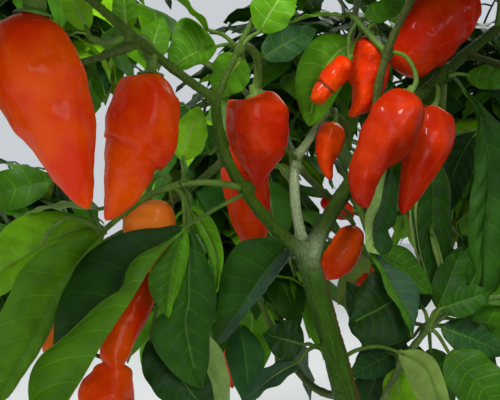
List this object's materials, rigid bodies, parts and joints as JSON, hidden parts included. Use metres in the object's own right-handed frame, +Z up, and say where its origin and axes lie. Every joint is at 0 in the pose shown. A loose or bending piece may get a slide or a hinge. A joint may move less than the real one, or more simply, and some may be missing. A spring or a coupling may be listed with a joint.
{
  "type": "chilli pepper plant",
  "caption": "Bushy chilli pepper plant in fruit, rooted in the ground: a leaning main stem that forks into boughs with large drooping leaves and hanging, tapering orange-red peppers.",
  "frame": {"origin": "middle of the main stem's flat cut at ground level", "axes": "+Z up, -Y out of the plant towards the side it is seen from, +X to that viewer's right"},
  "size_m": [0.6614, 0.6594, 0.6697],
  "materials": {
    "stem": "ridged green bark, satin",
    "bough": "smooth green bark, satin",
    "foliage": "satin leaves",
    "fruit": "glossy skin"
  },
  "bodies": {
    "root": {"stem": "stem", "bough_right": "bough", "bough_left": "bough", "bough_middle": "bough", "bough_left_high": "bough", "bough_left_top": "bough", "bough_top": "bough", "bough_right_top": "bough", "bough_left_front": "bough", "bough_left_low": "bough", "bough_back_left": "bough", "bough_back_right": "bough", "bough_back": "bough", "bough_back_high": "bough", "bough_right_front": "bough", "shoot_right": "bough", "shoot_back": "bough", "shoot_front": "bough", "spray_left": "foliage", "leaf_left_inner": "foliage", "fruit_left_near": "fruit", "fruit_left": "fruit", "spray_left_high": "foliage", "spray_inner": "foliage", "fruit_behind_left": "fruit", "spray_middle": "foliage", "leaf_fork_back": "foliage", "spray_right_inner": "foliage", "fruit_fork_right": "fruit", "spray_right_upright": "foliage", "fruit_right_high": "fruit", "leaf_right_inner": "foliage", "spray_right": "foliage", "fruit_right": "fruit", "leaf_stem_right": "foliage", "spray_shoot_low": "foliage", "spray_shoot_high": "foliage", "spray_stem_left": "foliage", "foliage_right": "foliage", "foliage_left_high": "foliage", "foliage_left_top": "foliage", "foliage_top": "foliage", "foliage_right_top": "foliage", "foliage_left_front": "foliage", "foliage_left_low": "foliage", "foliage_back_left": "foliage", "foliage_back": "foliage", "foliage_back_right": "foliage", "foliage_back_high": "foliage", "foliage_right_front": "foliage", "foliage_right_low": "foliage", "foliage_back_low": "foliage", "foliage_front_low": "foliage"}
  },
  "joints": []
}
